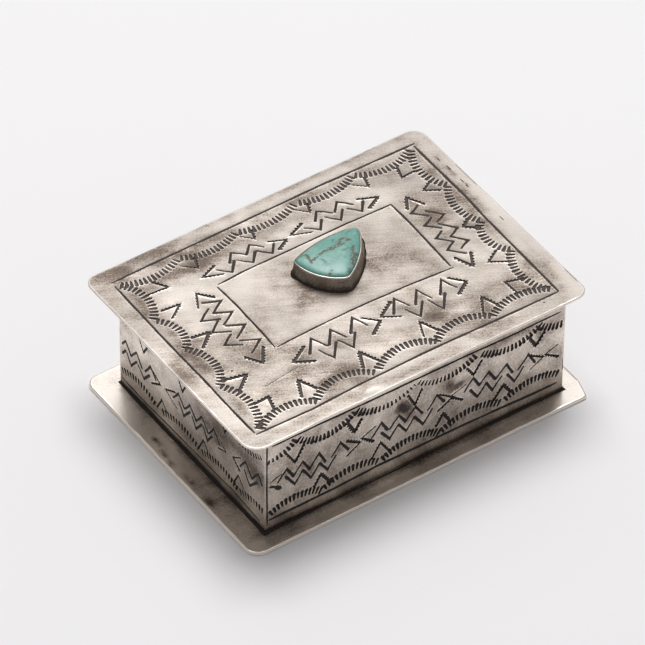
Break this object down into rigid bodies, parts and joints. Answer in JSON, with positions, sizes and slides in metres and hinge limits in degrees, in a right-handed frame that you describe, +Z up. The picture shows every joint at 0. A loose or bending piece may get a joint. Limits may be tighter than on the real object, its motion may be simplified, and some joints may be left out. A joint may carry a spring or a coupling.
{
  "type": "stamped metal box",
  "caption": "Rectangular silver-coloured sheet metal box with a lift-off lid, a wide base flange, hand-stamped borders and a turquoise stone set in a bezel on the lid.",
  "frame": {"origin": "centre of the underside of the base plate, on the surface that the box stands on", "axes": "+X along the length of the box, +Y to its rear, +Z up through the lid"},
  "size_m": [0.0966, 0.071, 0.0386],
  "materials": {
    "silver_sheet": "satin, hammer-flattened and oxidised in the stamped marks",
    "bezel_strip": "satin, oxidised, with a burnished rim",
    "solder": "rough, blackened",
    "bed_card": "plain card",
    "turquoise": "polished, with brown matrix"
  },
  "bodies": {
    "box": {"base_plate": "silver_sheet", "front_wall": "silver_sheet", "right_wall": "silver_sheet", "rear_wall": "silver_sheet", "left_wall": "silver_sheet", "corner_solder": "solder", "foot_solder": "solder"},
    "lid": {"lid_plate": "silver_sheet", "front_flange": "silver_sheet", "right_flange": "silver_sheet", "rear_flange": "silver_sheet", "left_flange": "silver_sheet", "flange_solder": "solder", "bezel": "bezel_strip", "bezel_solder": "solder", "stone_bed": "bed_card", "turquoise_stone": "turquoise"}
  },
  "joints": [
    {"name": "lid_lift", "type": "slide", "parent": "box", "child": "lid", "axis": [0, 0, 1], "range_m": [0, 0.04]}
  ]
}
